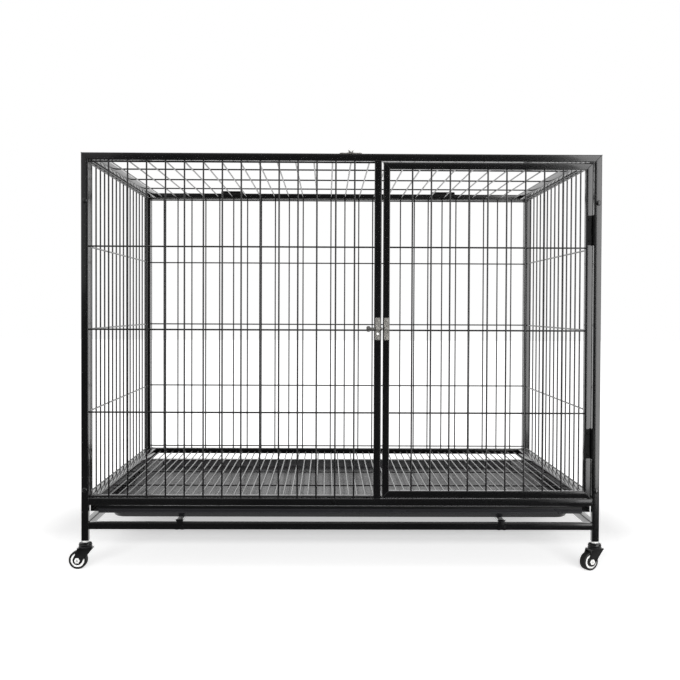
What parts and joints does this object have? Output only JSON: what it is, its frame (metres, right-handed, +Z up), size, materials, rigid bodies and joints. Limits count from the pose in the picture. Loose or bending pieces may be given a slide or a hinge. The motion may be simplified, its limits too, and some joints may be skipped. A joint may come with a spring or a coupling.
{
  "type": "dog crate on casters",
  "caption": "Rolling dog crate of square steel tube and welded wire, with a side-hinged front door, a hinged lid, slide bolts, a wire floor and a pull-out tray.",
  "frame": {"origin": "on the floor under the middle of the crate, between the four casters", "axes": "+Z up, -Y out through the front with the door, +X to the door's hinge side"},
  "size_m": [1.1454, 0.7522, 0.885],
  "materials": {
    "black_paint": "glossy black powder coat",
    "black_wire": "glossy black powder coat",
    "tray_plastic": "fine satin texture",
    "nickel": "brushed nickel",
    "zinc": "bright zinc plate",
    "wheel_rubber": "smooth matt black"
  },
  "bodies": {
    "frame": {"front_frame": "black_paint", "back_frame": "black_paint", "left_side_frame": "black_paint", "right_side_frame": "black_paint", "left_base_rail": "black_paint", "right_base_rail": "black_paint", "floor_frame": "black_paint", "left_tray_runner": "black_paint", "right_tray_runner": "black_paint", "left_tray_support": "black_paint", "right_tray_support": "black_paint", "front_left_lower_bolt": "black_paint", "front_left_upper_bolt": "black_paint", "front_right_lower_bolt": "black_paint", "front_right_upper_bolt": "black_paint", "rear_left_lower_bolt": "black_paint", "rear_left_upper_bolt": "black_paint", "rear_right_lower_bolt": "black_paint", "rear_right_upper_bolt": "black_paint", "lower_door_hinge_fixed_leaf": "black_paint", "upper_door_hinge_fixed_leaf": "black_paint", "left_lid_hinge_fixed_leaf": "black_paint", "right_lid_hinge_fixed_leaf": "black_paint", "front_grille": "black_wire", "back_grille": "black_wire", "left_side_grille": "black_wire", "right_side_grille": "black_wire", "floor_grid": "black_wire", "door_latch_plate": "nickel", "lid_latch_plate": "nickel", "front_left_caster_stem": "zinc", "front_right_caster_stem": "zinc", "rear_left_caster_stem": "zinc", "rear_right_caster_stem": "zinc"},
    "door": {"door_frame": "black_paint", "door_grille": "black_wire", "door_latch_keeper": "nickel", "lower_door_hinge_moving_leaf": "black_paint", "upper_door_hinge_moving_leaf": "black_paint"},
    "lid": {"lid_frame": "black_paint", "lid_grille": "black_wire", "lid_latch_keeper": "nickel", "left_lid_hinge_moving_leaf": "black_paint", "right_lid_hinge_moving_leaf": "black_paint"},
    "door_bolt": {"door_latch_bolt": "nickel"},
    "lid_bolt": {"lid_latch_bolt": "nickel"},
    "tray": {"tray_rim": "tray_plastic", "tray_floor": "tray_plastic"},
    "front_left_swivel": {"front_left_caster_fork": "black_paint", "front_left_caster_axle": "zinc"},
    "front_left_wheel": {"front_left_caster_wheel": "wheel_rubber"},
    "front_right_swivel": {"front_right_caster_fork": "black_paint", "front_right_caster_axle": "zinc"},
    "front_right_wheel": {"front_right_caster_wheel": "wheel_rubber"},
    "rear_left_swivel": {"rear_left_caster_fork": "black_paint", "rear_left_caster_axle": "zinc"},
    "rear_left_wheel": {"rear_left_caster_wheel": "wheel_rubber"},
    "rear_right_swivel": {"rear_right_caster_fork": "black_paint", "rear_right_caster_axle": "zinc"},
    "rear_right_wheel": {"rear_right_caster_wheel": "wheel_rubber"}
  },
  "joints": [
    {"name": "door_hinge", "type": "hinge", "parent": "frame", "child": "door", "pos_m": [0.529, -0.3663, 0.504], "axis": [0, 0, 1], "range_deg": [0, 180]},
    {"name": "lid_hinge", "type": "hinge", "parent": "frame", "child": "lid", "pos_m": [0, 0.3452, 0.8793], "axis": [-1, 0, 0], "range_deg": [0, 200]},
    {"name": "door_bolt_slide", "type": "slide", "parent": "frame", "child": "door_bolt", "axis": [1, 0, 0], "range_m": [-0.006, 0.011]},
    {"name": "lid_bolt_slide", "type": "slide", "parent": "frame", "child": "lid_bolt", "axis": [0, 1, 0], "range_m": [-0.006, 0.007]},
    {"name": "tray_slide", "type": "slide", "parent": "frame", "child": "tray", "axis": [0, -1, 0], "range_m": [0, 0.6]},
    {"name": "front_left_swivel_turn", "type": "hinge", "parent": "frame", "child": "front_left_swivel", "pos_m": [-0.5385, -0.3545, 0.05], "axis": [0, 0, 1], "continuous": true},
    {"name": "front_left_wheel_roll", "type": "hinge", "parent": "front_left_swivel", "child": "front_left_wheel", "pos_m": [-0.5535, -0.3545, 0.019], "axis": [0, 1, 0], "continuous": true},
    {"name": "front_right_swivel_turn", "type": "hinge", "parent": "frame", "child": "front_right_swivel", "pos_m": [0.5385, -0.3545, 0.05], "axis": [0, 0, 1], "continuous": true},
    {"name": "front_right_wheel_roll", "type": "hinge", "parent": "front_right_swivel", "child": "front_right_wheel", "pos_m": [0.5249, -0.36084, 0.019], "axis": [-0.4226, 0.9063, 0], "continuous": true},
    {"name": "rear_left_swivel_turn", "type": "hinge", "parent": "frame", "child": "rear_left_swivel", "pos_m": [-0.5385, 0.3545, 0.05], "axis": [0, 0, 1], "continuous": true},
    {"name": "rear_left_wheel_roll", "type": "hinge", "parent": "rear_left_swivel", "child": "rear_left_wheel", "pos_m": [-0.5521, 0.36084, 0.019], "axis": [0.4226, 0.9063, 0], "continuous": true},
    {"name": "rear_right_swivel_turn", "type": "hinge", "parent": "frame", "child": "rear_right_swivel", "pos_m": [0.5385, 0.3545, 0.05], "axis": [0, 0, 1], "continuous": true},
    {"name": "rear_right_wheel_roll", "type": "hinge", "parent": "rear_right_swivel", "child": "rear_right_wheel", "pos_m": [0.5521, 0.34816, 0.019], "axis": [-0.4226, -0.9063, 0], "continuous": true}
  ]
}
